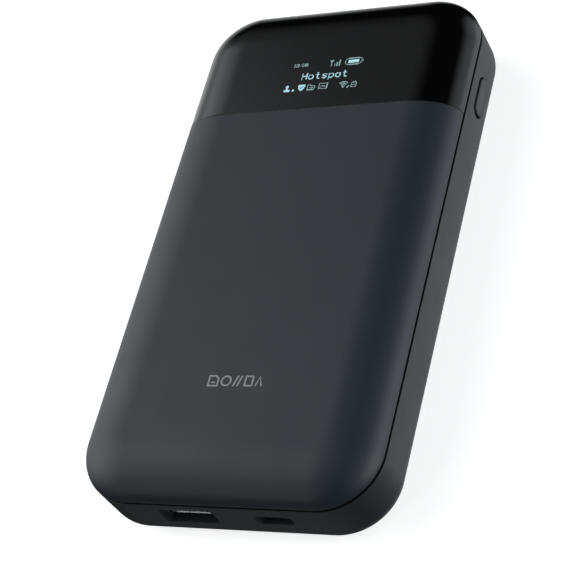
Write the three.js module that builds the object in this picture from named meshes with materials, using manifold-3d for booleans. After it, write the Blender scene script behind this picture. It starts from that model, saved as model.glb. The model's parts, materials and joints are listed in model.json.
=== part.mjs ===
// Pocket mobile hotspot: a hand-sized battery router that lies on its back.
// Millimetres. +Z is the way the display faces, +Y the display end, -Y the port end and
// +X the side with the power button. The origin is the middle of the flat underside.
import * as THREE from "three";
import { mergeVertices } from "three/addons/utils/BufferGeometryUtils.js";
import Module from "manifold-3d";

const wasm = await Module();
wasm.setup();

// ---- driving dimensions -------------------------------------------------------------------
const WIDTH = 77.5;
const LENGTH = 145;
const HEIGHT = 23.5;
const CORNER_R = 14.5; // plan corner radius of the whole body
const PARTING_Z = 16.45; // where the crowned front meets the straight side wall
const PARTING_GAP = 0.6;
const CROWN_WIDTH = 13; // how far in from the side the front's curve reaches
const BACK_R = 6; // rounding of the underside's edge
const COVER_Z = 3; // where the back cover meets the frame
const COVER_GAP = 0.2;
const WALL = 2; // the frame's side wall
const INSIDE_X = WIDTH / 2 - WALL;
const SKIN = 1.8; // the front shell and the window
const COVER_SKIN = 1.5;
const WINDOW_Y = 35.7; // seam between the front shell and the glossy window
const SEAM = 0.1;

// the frame's inside, from the underside up
const FLOOR_Z = 4.4; // top of the frame's floor at both ends
const BAY_TOP_Z = 10.6; // ceiling of the battery bay
const DECK_Z = 11.8; // top of the deck over the bay
const BOARD_Z = 13.7; // underside of the main board
const BOARD_TOP_Z = 14.7;

const BAY = { x: 31, low: -48.5, high: 46.5 };
const BAY_WALL = 1.5;
const PORT_Z = 10.7; // middle height of both sockets
const USB_A = { x: -9.8, width: 13.2, height: 5.7, mouth: -70, depth: 12.2, room: 1, corner: 1.2 };
const USB_C = { x: 12.4, width: 8.94, height: 3.16, mouth: -70.4, depth: 7.9 };
const BUTTON = { y: 46, z: 9.9, length: 10.6, height: 4.1, proud: 0.5, gap: 0.5 };
const RESET = { x: 20, y: 57 };
const OLED = { y: 48.3, width: 26.7, length: 19.3, top: 21.55, thick: 1.45, slack: 0.2 };
const SCREW = { x: 29.5, y: 62, boss: 2.9, joint: 9, seat: 6.4 };
const PILOT_R = 1.05; // bored for a screw to cut its own thread
const SHANK_R = 1.2; // a screw passes through freely
const HEAD_R = 2.4;
const SOCKET_SLACK = 0.3; // between a socket's shell and its opening, on every side

const BIG = 200;
const MERGE_MM = 1e-4;
const CORNER_SEGMENTS = 4; // three.js draws an arc with twice this many
const ROUND = 12; // sides of small round pieces

// ---- materials ----------------------------------------------------------------------------
const finish = (color, roughness, metalness = 0) =>
  new THREE.MeshStandardMaterial({ color, roughness, metalness });
const SOFT_TOUCH = finish(0x3a3e42, 0.55);
const SOFT_TOUCH_FRAME = finish(0x3c3f42, 0.55);
const GLOSS_BLACK = finish(0x08090a, 0.06);
const BLACK_PLASTIC = finish(0x16181a, 0.5);
const BOARD = finish(0x123524, 0.45);
const STEEL = finish(0xb9bcc0, 0.3, 1);
const TIN = finish(0xa8abae, 0.38, 1);
const GOLD = finish(0xd8b25a, 0.3, 1);
const OLED_GLASS = finish(0x101418, 0.08);
const FLEX = finish(0x7a3c12, 0.4);
const WRAP = finish(0x20242a, 0.45);
const PAD_GREY = finish(0x8a8f98, 0.85);
const CABLE = finish(0x141414, 0.45);
const SCREW_BLACK = finish(0x2a2b2d, 0.4, 1);

// ---- solids -------------------------------------------------------------------------------
function solid(geometry) {
  const bare = geometry.clone();
  bare.deleteAttribute("normal");
  bare.deleteAttribute("uv");
  const merged = mergeVertices(bare, MERGE_MM);
  const vertProperties = merged.attributes.position.array;
  const triVerts = new Uint32Array(merged.index.array);
  return new wasm.Manifold(new wasm.Mesh({ numProp: 3, vertProperties, triVerts }));
}

function geometryOf(made) {
  const mesh = made.getMesh();
  const geometry = new THREE.BufferGeometry();
  geometry.setAttribute("position", new THREE.BufferAttribute(mesh.vertProperties, 3));
  geometry.setIndex(new THREE.BufferAttribute(mesh.triVerts, 1));
  const flat = geometry.toNonIndexed();
  flat.computeVertexNormals();
  return flat;
}

const joined = (first, ...others) => others.reduce((sum, other) => sum.add(other), first);
const cut = (first, ...others) => others.reduce((rest, other) => rest.subtract(other), first);

function block(x0, x1, y0, y1, z0, z1) {
  const geometry = new THREE.BoxGeometry(x1 - x0, y1 - y0, z1 - z0);
  return solid(geometry.translate((x0 + x1) / 2, (y0 + y1) / 2, (z0 + z1) / 2));
}

const above = (z) => block(-BIG, BIG, -BIG, BIG, z, BIG);
const below = (z) => block(-BIG, BIG, -BIG, BIG, -BIG, z);
const beyond = (y) => block(-BIG, BIG, y, BIG, -BIG, BIG);
const before = (y) => block(-BIG, BIG, -BIG, y, -BIG, BIG);

function rod(x, y, z0, z1, radius, sides = ROUND) {
  const geometry = new THREE.CylinderGeometry(radius, radius, z1 - z0, sides);
  return solid(geometry.rotateX(Math.PI / 2).translate(x, y, (z0 + z1) / 2));
}

// A rectangle of half sizes x and y with corners of radius r.
function roundedRectangle(x, y, r) {
  const quarter = Math.PI / 2;
  const shape = new THREE.Shape();
  shape.moveTo(-x + r, -y);
  shape.lineTo(x - r, -y);
  shape.absarc(x - r, -y + r, r, -quarter, 0);
  shape.lineTo(x, y - r);
  shape.absarc(x - r, y - r, r, 0, quarter);
  shape.lineTo(-x + r, y);
  shape.absarc(-x + r, y - r, r, quarter, 2 * quarter);
  shape.lineTo(-x, -y + r);
  shape.absarc(-x + r, -y + r, r, 2 * quarter, 3 * quarter);
  return shape;
}

const outline = (inset) =>
  roundedRectangle(WIDTH / 2 - inset, LENGTH / 2 - inset, CORNER_R - inset);

// The body's plan outline, drawn in by inset, from z0 up to z1.
function slab(z0, z1, inset) {
  const options = { depth: z1 - z0, bevelEnabled: false, curveSegments: CORNER_SEGMENTS };
  return solid(new THREE.ExtrudeGeometry(outline(inset), options).translate(0, 0, z0));
}

// The whole body's form, drawn in by inset, with its crowned front. The crown is a quarter
// ellipse from the parting line up to the flat face. Its lower end is cut off by the caller.
function frontForm(inset, steps = 6) {
  const options = {
    depth: PARTING_Z,
    bevelSize: CROWN_WIDTH - inset,
    bevelThickness: HEIGHT - PARTING_Z - inset,
    bevelSegments: steps,
    curveSegments: CORNER_SEGMENTS,
  };
  return solid(new THREE.ExtrudeGeometry(outline(CROWN_WIDTH), options));
}

// The same for the underside, whose edge is a quarter circle.
function backForm(inset, steps = 5) {
  const options = {
    depth: PARTING_Z,
    bevelSize: BACK_R - inset,
    bevelThickness: BACK_R - inset,
    bevelSegments: steps,
    curveSegments: CORNER_SEGMENTS,
  };
  return solid(new THREE.ExtrudeGeometry(outline(BACK_R), options).translate(0, 0, BACK_R));
}

// A bar along Y from y0 to y1, with a section width by height whose corners have radius r.
function barAlongY(x, z, width, height, y0, y1, r = height / 2 - 0.01) {
  const shape = roundedRectangle(width / 2, height / 2, r);
  const options = { depth: y1 - y0, bevelEnabled: false, curveSegments: CORNER_SEGMENTS };
  const geometry = new THREE.ExtrudeGeometry(shape, options);
  return solid(geometry.rotateX(Math.PI / 2).translate(x, y1, z));
}

// A bar with round ends in the YZ plane, running along X from x0 to x1. edge rounds its ends.
function pillAlongX(y, z, length, height, x0, x1, edge = 0) {
  const radius = height / 2 - edge - 0.01;
  const shape = roundedRectangle(height / 2 - edge, length / 2 - edge, radius);
  const options = {
    depth: x1 - x0 - 2 * edge,
    bevelEnabled: edge > 0,
    bevelSize: edge,
    bevelThickness: edge,
    bevelSegments: 3,
    curveSegments: CORNER_SEGMENTS,
  };
  const geometry = new THREE.ExtrudeGeometry(shape, options);
  return solid(geometry.rotateY(Math.PI / 2).translate(x0 + edge, y, z));
}

// A thin strip bent in the YZ plane: points are [y, z] pairs on its middle line.
function ribbon(points, thickness, x0, x1) {
  const STEPS = 18;
  const curve = new THREE.SplineCurve(points.map(([y, z]) => new THREE.Vector2(y, z)));
  const side = (offset) =>
    Array.from({ length: STEPS + 1 }, (_, i) => {
      const along = curve.getTangent(i / STEPS);
      const normal = new THREE.Vector2(-along.y, along.x);
      return curve.getPoint(i / STEPS).addScaledVector(normal, offset);
    });
  const shape = new THREE.Shape([...side(-thickness / 2), ...side(thickness / 2).reverse()]);
  const geometry = new THREE.ExtrudeGeometry(shape, { depth: x1 - x0, bevelEnabled: false });
  return geometry.rotateX(Math.PI / 2).rotateZ(Math.PI / 2).translate(x0, 0, 0);
}

// A thin coaxial lead along a smooth path.
function lead(points) {
  const RADIUS = 0.57;
  const section = new THREE.Shape().absarc(0, 0, RADIUS, 0, 2 * Math.PI);
  const extrudePath = new THREE.CatmullRomCurve3(points.map((p) => new THREE.Vector3(...p)));
  const options = { extrudePath, steps: 20, curveSegments: 4, bevelEnabled: false };
  return new THREE.ExtrudeGeometry(section, options);
}

// A pan-head screw standing on its head, as a turned profile of [radius, height] pairs, with a
// cross recess in the head.
function screwGeometry(headRadius, headHeight, shankRadius, length) {
  const profile = [
    [0, 0],
    [headRadius - 0.3, 0],
    [headRadius, 0.35],
    [headRadius, headHeight],
    [shankRadius, headHeight],
    [shankRadius, headHeight + length],
    [0, headHeight + length],
  ];
  const points = profile.map(([radius, height]) => new THREE.Vector2(radius, height));
  const turned = solid(new THREE.LatheGeometry(points, ROUND).rotateX(Math.PI / 2));
  const [reach, half, deep] = [0.55 * headRadius, 0.2, 0.5];
  const across = block(-reach, reach, -half, half, -1, deep);
  const along = block(-half, half, -reach, reach, -1, deep);
  return geometryOf(cut(turned, across, along));
}

// ---- the scene graph ----------------------------------------------------------------------
const group = new THREE.Group();
const housing = new THREE.Group();
const electronics = new THREE.Group();
const backCover = new THREE.Group();
const battery = new THREE.Group();
const powerButton = new THREE.Group();
const resetButton = new THREE.Group();
group.add(housing, backCover, battery, powerButton, resetButton);
housing.add(electronics);

function add(parent, name, shape, material, [x, y, z] = [0, 0, 0]) {
  const geometry = shape.isBufferGeometry ? shape : geometryOf(shape);
  const mesh = new THREE.Mesh(geometry, material.clone());
  mesh.name = name;
  mesh.position.set(x, y, z);
  parent.add(mesh);
  return mesh;
}

// ---- front shell and display window -------------------------------------------------------
const FRONT_Z = PARTING_Z + PARTING_GAP / 2;
const REBATE = { inset: 0.9, top: 17.2 }; // room for the frame's tongue
const SHELF = { inset: 1.9, skin: 1, low: 17.3 }; // the ledge that carries the window
const JOG_Y = WINDOW_Y - 2; // the shell thickens here, to reach its ledge
const PILOT_TOP = 16;
const ceiling = SHELF.inset + SHELF.skin;
const corners = [-1, 1].flatMap((sx) => [-1, 1].map((sy) => [sx * SCREW.x, sy * SCREW.y]));

function screwBoss([x, y]) {
  const roof = y > WINDOW_Y ? SHELF.inset + SHELF.skin / 2 : SKIN / 2;
  return rod(x, y, SCREW.joint + 0.1, HEIGHT, SCREW.boss).intersect(frontForm(roof));
}

function frontShell() {
  const face = frontForm(0).intersect(before(WINDOW_Y - SEAM / 2)).intersect(above(FRONT_Z));
  const ledge = frontForm(SHELF.inset).intersect(beyond(JOG_Y)).intersect(above(SHELF.low));
  const room = frontForm(SKIN, 4).intersect(before(JOG_Y));
  const rebate = slab(FRONT_Z - 1, REBATE.top, REBATE.inset);
  const [x, y] = [OLED.width / 2 + OLED.slack, OLED.length / 2 + OLED.slack];
  const pane = block(-x, x, OLED.y - y, OLED.y + y, SHELF.low, HEIGHT);
  const hollow = cut(joined(face, ledge), frontForm(ceiling), room, rebate, pane);
  const pilots = corners.map((at) => rod(...at, SCREW.joint, PILOT_TOP, PILOT_R));
  return cut(joined(hollow, ...corners.map(screwBoss)), ...pilots);
}

function displayWindow() {
  const cap = frontForm(0).intersect(beyond(WINDOW_Y + SEAM / 2)).intersect(above(FRONT_Z));
  return cut(cap, frontForm(SKIN), slab(FRONT_Z - 1, REBATE.top, REBATE.inset));
}

add(housing, "front_shell", frontShell(), SOFT_TOUCH);
add(housing, "display_window", displayWindow(), GLOSS_BLACK);

// ---- back cover's snap tabs, shared with the frame's slots ---------------------------------
const TAB = { inset: 2.3, thick: 1, half: 4, top: 5, slack: 0.3 };
const sideTabs = [-1, 1].flatMap((side) => [-40, 0, 40].map((y) => ({ side, y })));
const endTabs = [-1, 1].flatMap((end) => [-14, 14].map((x) => ({ end, x })));

function tabBlocks(slack, z0, z1) {
  const reach = (size, sign) => {
    const outer = sign * (size / 2 - TAB.inset + slack);
    const inner = sign * (size / 2 - TAB.inset - TAB.thick - slack);
    return [Math.min(outer, inner), Math.max(outer, inner)];
  };
  const half = TAB.half + slack;
  const sides = sideTabs.map(({ side, y }) =>
    block(...reach(WIDTH, side), y - half, y + half, z0, z1),
  );
  const ends = endTabs.map(({ end, x }) =>
    block(x - half, x + half, ...reach(LENGTH, end), z0, z1),
  );
  return [...sides, ...ends];
}

// ---- mid frame ------------------------------------------------------------------------------
const CARD_SLOTS = [
  { x: -13, width: 12.8 },
  { x: 4, width: 11.6 },
];
const CARD_Z = 5.9; // middle height of the card slots
const CONTACT = { half: 8, low: 3.8, high: 9, back: -52.2, front: -49, slack: 0.2 };
const CARD_SLOT = { half: 0.6, low: BAY.high - 1, high: BAY.high + 3 };
const COLLAR = { half: 8.4, low: 5.8, top: 15.2 }; // deepens the wall round the USB-A mouth
const TONGUE = { inset: 1.15, top: 17 }; // stands inside the front shell's rebate
const OPEN_TOP = 20; // above the frame
const SOCKETS_IN = [-80, -66]; // from outside to within the housing
const POST_R = 2;
const RESET_HOLE_R = 1.5;
const POSTS = [-24, 24].flatMap((x) => [-42, 26].map((y) => [x, y]));

function midFrame() {
  const outer = backForm(0).intersect(above(COVER_Z + COVER_GAP / 2));
  const wall = outer.intersect(below(PARTING_Z - PARTING_GAP / 2));
  const tongue = slab(PARTING_Z - 1, TONGUE.top, TONGUE.inset);
  const endRoom = slab(FLOOR_Z, OPEN_TOP, WALL);
  const portRoom = endRoom.intersect(before(BAY.low - 4));
  const cardRoom = endRoom.intersect(beyond(BAY.high + 2));
  const bay = block(-BAY.x, BAY.x, BAY.low, BAY.high, 0, BAY_TOP_Z);
  const channel = BAY.x + BAY_WALL;
  const channels = [-1, 1].map((side) => {
    const [x0, x1] = [side * channel, side * INSIDE_X].sort((a, b) => a - b);
    return block(x0, x1, BAY.low - 6, BAY.high + 4, FLOOR_Z, OPEN_TOP);
  });
  const upper = slab(DECK_Z, OPEN_TOP, WALL);
  const slots = tabBlocks(TAB.slack, 0, FLOOR_Z + 1);
  const body = cut(joined(wall, tongue), portRoom, cardRoom, bay, upper, ...channels, ...slots);

  const collar = block(
    USB_A.x - COLLAR.half, USB_A.x + COLLAR.half, WALL - LENGTH / 2 - 0.5, USB_A.mouth - 0.1,
    COLLAR.low, COLLAR.top,
  );
  const room = 2 * SOCKET_SLACK;
  const usbA = barAlongY(
    USB_A.x, PORT_Z, USB_A.width + USB_A.room, USB_A.height + room, ...SOCKETS_IN, USB_A.corner,
  );
  const usbC = barAlongY(
    USB_C.x, PORT_Z, USB_C.width + room, USB_C.height + room, ...SOCKETS_IN,
  );
  const hole = [BUTTON.length + 2 * BUTTON.gap, BUTTON.height + 2 * BUTTON.gap];
  const button = pillAlongX(BUTTON.y, BUTTON.z, ...hole, INSIDE_X - 1, WIDTH);
  const cards = CARD_SLOTS.map(({ x, width }) =>
    block(x - width / 2, x + width / 2, CARD_SLOT.low, CARD_SLOT.high,
      CARD_Z - CARD_SLOT.half, CARD_Z + CARD_SLOT.half),
  );
  const { half, low, high, slack } = CONTACT;
  const contacts = block(
    -half - slack, half + slack, BAY.low - 5, BAY.low + 1, low - slack, high + slack,
  );
  const reset = rod(RESET.x, RESET.y, 0, FLOOR_Z + 1, RESET_HOLE_R);
  const opened = cut(joined(body, collar), usbA, usbC, button, ...cards, contacts, reset);

  const bosses = corners.map((at) => rod(...at, FLOOR_Z - 0.5, SCREW.joint, SCREW.boss));
  const posts = POSTS.map((at) => rod(...at, DECK_Z - 0.5, BOARD_Z, POST_R));
  const postHoles = POSTS.map((at) => rod(...at, DECK_Z + 0.1, BOARD_Z + 1, PILOT_R));
  const heads = corners.map((at) => rod(...at, 0, SCREW.seat + 0.02, HEAD_R));
  const shanks = corners.map((at) => rod(...at, 0, SCREW.joint + 1, SHANK_R));
  return cut(joined(opened, ...bosses, ...posts), ...postHoles, ...heads, ...shanks);
}

add(housing, "mid_frame", midFrame(), SOFT_TOUCH_FRAME);

// ---- back cover -------------------------------------------------------------------------------
const PRY = { out: 4, radius: 6.5 }; // the thumb notch, centred beyond the display end

function coverShell() {
  const inner = backForm(COVER_SKIN);
  const pan = cut(backForm(0), inner).intersect(below(COVER_Z - COVER_GAP / 2));
  const tabs = tabBlocks(0, COVER_SKIN - 0.2, TAB.top);
  const notch = rod(0, LENGTH / 2 + PRY.out, -1, COVER_Z + 1, PRY.radius, 2 * ROUND);
  return cut(joined(pan, ...tabs), notch);
}

add(backCover, "back_cover", coverShell(), SOFT_TOUCH);

// ---- screws -----------------------------------------------------------------------------------
const THREAD_R = 0.9;
const BIG_HEAD = { radius: 2, height: 1.3 };
const SMALL_HEAD = { radius: 1.8, height: 0.9 };
const housingScrew = screwGeometry(BIG_HEAD.radius, BIG_HEAD.height, THREAD_R, 8);
corners.forEach(([x, y], i) =>
  add(housing, `housing_screw_${i + 1}`, housingScrew, SCREW_BLACK, [
    x, y, SCREW.seat - BIG_HEAD.height,
  ]),
);
const boardScrew = screwGeometry(SMALL_HEAD.radius, SMALL_HEAD.height, THREAD_R, 2.4);
boardScrew.rotateX(Math.PI);
POSTS.slice(0, 3).forEach(([x, y], i) =>
  add(electronics, `board_screw_${i + 1}`, boardScrew, SCREW_BLACK, [
    x, y, BOARD_TOP_Z + SMALL_HEAD.height,
  ]),
);

// ---- boards -----------------------------------------------------------------------------------
const MAIN_BOARD = { half: 33.5, low: -50, high: 33.5, tailHalf: 20, tailLow: -60.5 };
const PORT_BOARD = { half: 22, low: -68.6, high: -53.2, under: 0.5, over: 0.3 };
const HEADER = { x: 2, y: -55.6, width: 22, length: 4 };

function mainBoard() {
  const { half, low, high, tailHalf, tailLow } = MAIN_BOARD;
  const plate = block(-half, half, low, high, BOARD_Z, BOARD_TOP_Z);
  const tail = block(-tailHalf, tailHalf, tailLow, low + 1, BOARD_Z, BOARD_TOP_Z);
  return cut(joined(plate, tail), ...POSTS.map((at) => rod(...at, 0, BIG, SHANK_R)));
}

// The port board, with a notch that lets a socket's shell stand through it.
function portBoard() {
  const { half, low, high, under, over } = PORT_BOARD;
  const notch = ({ x, width, mouth, depth }) =>
    block(x - width / 2 - 0.2, x + width / 2 + 0.2, low - 1, mouth + depth + 0.2, 0, HEIGHT);
  const plate = block(-half, half, low, high, PORT_Z - under, PORT_Z + over);
  return cut(plate, notch(USB_A), notch(USB_C));
}

add(electronics, "main_board", mainBoard(), BOARD);
add(electronics, "port_board", portBoard(), BOARD);
const headerLow = PORT_Z + PORT_BOARD.over;
const headerGeometry = new THREE.BoxGeometry(HEADER.width, HEADER.length, BOARD_Z - headerLow);
add(electronics, "board_header", headerGeometry, BLACK_PLASTIC, [
  HEADER.x, HEADER.y, (BOARD_Z + headerLow) / 2,
]);

// ---- sockets at the port end --------------------------------------------------------------------
const SHEET = 0.3;
const TONGUE_A = { half: 5.55, setBack: 1.6, heelHalf: 6.2, heelRise: 2.4 };
const TONGUE_C = { half: 3.35, rise: 0.35, setBack: 0.9, heelWidth: 8, heelHeight: 2.2 };

function usbAShell() {
  const { x, width, height, mouth, depth } = USB_A;
  const tube = (t, y1) =>
    block(x - width / 2 + t, x + width / 2 - t, mouth, y1, PORT_Z - height / 2 + t,
      PORT_Z + height / 2 - t);
  return cut(tube(0, mouth + depth), tube(SHEET, mouth + depth - SHEET));
}

function usbATongue() {
  const { x, mouth, depth } = USB_A;
  const back = mouth + depth - SHEET;
  const [low, high] = [PORT_Z + 0.05, PORT_Z + 1.89];
  const { half, setBack, heelHalf, heelRise } = TONGUE_A;
  const blade = block(x - half, x + half, mouth + setBack, back - 2, low, high);
  const heel = block(
    x - heelHalf, x + heelHalf, back - 3, back - 0.1, PORT_Z - heelRise, PORT_Z + heelRise,
  );
  return joined(blade, heel);
}

function usbCShell() {
  const { x, width, height, mouth, depth } = USB_C;
  const outer = barAlongY(x, PORT_Z, width, height, mouth, mouth + depth);
  const back = mouth + depth - SHEET;
  const [wide, high] = [width - 2 * SHEET, height - 2 * SHEET];
  return cut(outer, barAlongY(x, PORT_Z, wide, high, mouth - 1, back));
}

function usbCTongue() {
  const { x, mouth, depth } = USB_C;
  const back = mouth + depth - SHEET;
  const { half, rise, setBack, heelWidth, heelHeight } = TONGUE_C;
  const blade = block(
    x - half, x + half, mouth + setBack, back - 1, PORT_Z - rise, PORT_Z + rise,
  );
  return joined(blade, barAlongY(x, PORT_Z, heelWidth, heelHeight, back - 2.5, back - 0.1));
}

add(electronics, "usb_a_shell", usbAShell(), STEEL);
add(electronics, "usb_a_tongue", usbATongue(), BLACK_PLASTIC);
add(electronics, "usb_c_shell", usbCShell(), STEEL);
add(electronics, "usb_c_tongue", usbCTongue(), BLACK_PLASTIC);

// ---- display ------------------------------------------------------------------------------------
const OLED_LOW = OLED.top - OLED.thick;
const panel = new THREE.BoxGeometry(OLED.width, OLED.length, OLED.thick);
add(electronics, "oled_panel", panel, OLED_GLASS, [0, OLED.y, OLED.top - OLED.thick / 2]);

const RETAINER = { x: 16, y: 11.5, thick: 1.1, openX: 10, openHigh: 6 };

function oledRetainer() {
  const { x, y, thick, openX, openHigh } = RETAINER;
  const top = OLED_LOW - 0.1;
  const plate = block(-x, x, OLED.y - y, OLED.y + y, top - thick, top);
  return cut(plate, block(-openX, openX, OLED.y - y - 1, OLED.y + openHigh, 0, HEIGHT));
}

add(electronics, "oled_retainer", oledRetainer(), BLACK_PLASTIC);
const displayFlexPath = [
  [44, 19.9], [38.8, 19.75], [36, 18.8], [34.6, 16.9], [32.4, 15.3], [28.6, 14.95],
];
add(electronics, "oled_flex", ribbon(displayFlexPath, 0.25, -6, 6), FLEX);

// ---- what stands on the main board --------------------------------------------------------------
// A drawn metal can, open below, with walls of sheet.
function can(width, length, height) {
  const [x, y] = [width / 2, length / 2];
  const room = block(SHEET - x, x - SHEET, SHEET - y, y - SHEET, -1, height - SHEET);
  return cut(block(-x, x, -y, y, 0, height), room);
}

const SOC = { x: -2, y: -33.5, height: 2.3 };
const PAD = 0.8; // thickness of the thermal pad and of the heat spreader
const padZ = BOARD_TOP_Z + SOC.height + PAD / 2;
add(electronics, "soc_shield", can(30, 22, SOC.height), TIN, [SOC.x, SOC.y, BOARD_TOP_Z]);
add(electronics, "power_shield", can(13, 30, 2.1), TIN, [24, -16, BOARD_TOP_Z]);
const padGeometry = new THREE.BoxGeometry(18, 14, PAD);
add(electronics, "thermal_pad", padGeometry, PAD_GREY, [SOC.x, SOC.y, padZ]);
const spreaderGeometry = new THREE.BoxGeometry(34, 32, PAD);
add(electronics, "heat_spreader", spreaderGeometry, TIN, [SOC.x, SOC.y - 1.5, padZ + PAD]);

// the modem board, above the main board, with its neck in the connector
const MODEM = { x: -2, y: -13.5, low: 1.9, high: 2.7, neck: 10.9, half: 15, screw: 38.6 };

function modemConnector() {
  const { low, high, neck } = MODEM;
  const slot = block(-neck - 0.3, neck + 0.3, -1, 4, low - 0.2, high + 0.2);
  return cut(block(-12, 12, -3, 3, 0, 3.6), slot);
}

add(electronics, "modem_connector", modemConnector(), BLACK_PLASTIC, [
  MODEM.x, MODEM.y, BOARD_TOP_Z,
]);

function modemBoard() {
  const { low, high, half, screw } = MODEM;
  const neck = block(-MODEM.neck, MODEM.neck, -0.6, 6, low, high);
  const plate = block(-half, half, 4, 41, low, high);
  return cut(joined(neck, plate), rod(0, screw, 0, 5, SHANK_R));
}

add(electronics, "modem_board", modemBoard(), BOARD, [MODEM.x, MODEM.y, BOARD_TOP_Z]);
const modemTop = BOARD_TOP_Z + MODEM.high;
add(electronics, "modem_shield", can(28, 28, 2), TIN, [MODEM.x, MODEM.y + 20, modemTop]);

function modemStandoff() {
  return cut(rod(0, 0, 0, MODEM.low - 0.05, 2.1), rod(0, 0, 0.4, 3, PILOT_R));
}

const standoffAt = [MODEM.x, MODEM.y + MODEM.screw, BOARD_TOP_Z];
add(electronics, "modem_standoff", modemStandoff(), STEEL, standoffAt);
const modemScrew = screwGeometry(SMALL_HEAD.radius, 0.8, THREAD_R, 2.2).rotateX(Math.PI);
const modemScrewAt = [standoffAt[0], standoffAt[1], modemTop + 0.85];
add(electronics, "modem_screw", modemScrew, SCREW_BLACK, modemScrewAt);

// ---- card sockets, card board and reset switch --------------------------------------------------
const CARD_BOARD = { low: 7.3, high: 8.1, left: -21, right: 24, near: 50, far: 68.6 };

function cardBoard() {
  const { low, high, left, right, near, far } = CARD_BOARD;
  return block(left, right, near, far, low, high);
}

// A card socket of that width and length, with its mouth at y = 0 and its lid up.
function cardSocket(width, length, height) {
  const [x, side, back] = [width / 2, 0.5, 1.2];
  const room = block(side - x, x - side, -1, length - back, SHEET, height - SHEET);
  return cut(block(-x, x, 0, length, 0, height), room);
}

add(electronics, "card_board", cardBoard(), BOARD);
const socketZ = CARD_Z - 0.85;
CARD_SLOTS.forEach(({ x, width }, i) => {
  const name = ["sim_socket", "microsd_socket"][i];
  add(electronics, name, cardSocket(width + 1.6, 15 - i, 1.7), STEEL, [x, 50.2, socketZ]);
});
const cardFlexPath = [
  [58, 8.35], [53.5, 8.35], [51.2, 9.4], [50, 12], [47, 15], [41, 16.2], [35, 15.6], [28, 14.95],
];
add(electronics, "card_flex", ribbon(cardFlexPath, 0.25, 12, 19), FLEX);

function resetSwitch() {
  const { x, y } = RESET;
  const half = 1.9;
  const body = block(x - half, x + half, y - half, y + half, 5.3, CARD_BOARD.low - 0.05);
  return cut(body, rod(x, y, 5, 6.4, 1.1));
}

add(electronics, "reset_switch", resetSwitch(), STEEL);

function resetPin() {
  const { x, y } = RESET;
  return joined(rod(x, y, 3.3, 6, 0.8), rod(x, y, 4.5, 4.9, 1.7));
}

add(resetButton, "reset_pin", resetPin(), BLACK_PLASTIC);

// ---- power button and its switch ----------------------------------------------------------------
function buttonCap() {
  const { y, z, length, height, proud } = BUTTON;
  const face = pillAlongX(y, z, length, height, INSIDE_X - 0.6, WIDTH / 2 + proud, 0.45);
  const flange = pillAlongX(y, z, length + 2, height + 1.6, INSIDE_X - 0.9, INSIDE_X - 0.15);
  return joined(face, flange);
}

add(powerButton, "power_button_cap", buttonCap(), SOFT_TOUCH_FRAME);
const plungerGeometry = new THREE.CylinderGeometry(0.9, 0.9, 0.9, ROUND).rotateZ(Math.PI / 2);
const plungerAt = [INSIDE_X - 1.4, BUTTON.y, BUTTON.z];
add(powerButton, "power_switch_plunger", plungerGeometry, BLACK_PLASTIC, plungerAt);

// the switch from its board at low to its face at high, hollow from room on
const SWITCH = { low: 33.25, high: 35.05, half: 2.2, room: 34.2 };

function powerSwitch() {
  const { y, z } = BUTTON;
  const { low, high, half, room } = SWITCH;
  const body = block(low, high, y - half, y + half, z - half, z + half);
  return cut(body, pillAlongX(y, z, 2.6, 2.5, room, high + 1));
}

add(electronics, "power_switch", powerSwitch(), STEEL);
const switchBoardGeometry = new THREE.BoxGeometry(0.6, 9.4, 7);
const switchBoardAt = [SWITCH.low - 0.33, BUTTON.y, BUTTON.z];
add(electronics, "switch_board", switchBoardGeometry, BOARD, switchBoardAt);

// ---- antennas and their leads -------------------------------------------------------------------
const ANTENNA = 0.25;
const endAntenna = new THREE.BoxGeometry(38, ANTENNA, 6);
add(electronics, "main_antenna", endAntenna, GOLD, [0, LENGTH / 2 - WALL - 0.4, 12.6]);
const sideAntenna = new THREE.BoxGeometry(ANTENNA, 40, 7.6);
add(electronics, "diversity_antenna", sideAntenna, GOLD, [0.4 - INSIDE_X, 6, 10]);
const wifiAntenna = new THREE.BoxGeometry(ANTENNA, 26, 7.6);
add(electronics, "wifi_antenna", wifiAntenna, GOLD, [INSIDE_X - 0.4, -34, 10]);

const mainLead = lead([
  [-14.6, 24.8, 18.2], [-15.5, 29, 18], [-19, 35, 16.8], [-21, 46, 15.4], [-20.5, 58, 14.4],
  [-17.5, 66.5, 13.2], [-14, 69.2, 12.6],
]);
const diversityLead = lead([
  [-17.6, 17, 18.2], [-21, 15, 18.2], [-27, 11, 17.2], [-32.5, 7, 16.2], [-35.2, 3, 14],
  [-35.5, -2, 12],
]);
const wifiLead = lead([
  [24, 4, 15.4], [26.5, 3.4, 16.2], [31, 1, 16.6], [34.6, -6, 15.6], [35.5, -15, 13],
  [35.5, -21.5, 11.4],
]);
add(electronics, "main_antenna_lead", mainLead, CABLE);
add(electronics, "diversity_antenna_lead", diversityLead, CABLE);
add(electronics, "wifi_antenna_lead", wifiLead, CABLE);

// ---- battery and its contacts -------------------------------------------------------------------
const CELL = { x: 30.3, low: -43.9, high: 46, floor: 1.8, top: 10.2 };
const CAP_FACE = -47.8;
const CONTACT_X = [-5.4, -1.8, 1.8, 5.4];

// A flat bar of half width x, with rounded corners in plan and edges rounded by edge.
function roundedBar(x, y0, y1, z0, z1, edge) {
  const shape = roundedRectangle(x - edge, (y1 - y0) / 2 - edge, 1.5);
  const options = {
    depth: z1 - z0 - 2 * edge,
    bevelSize: edge,
    bevelThickness: edge,
    bevelSegments: 2,
    curveSegments: 2,
  };
  const geometry = new THREE.ExtrudeGeometry(shape, options);
  return solid(geometry.translate(0, (y0 + y1) / 2, z0 + edge));
}

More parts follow.
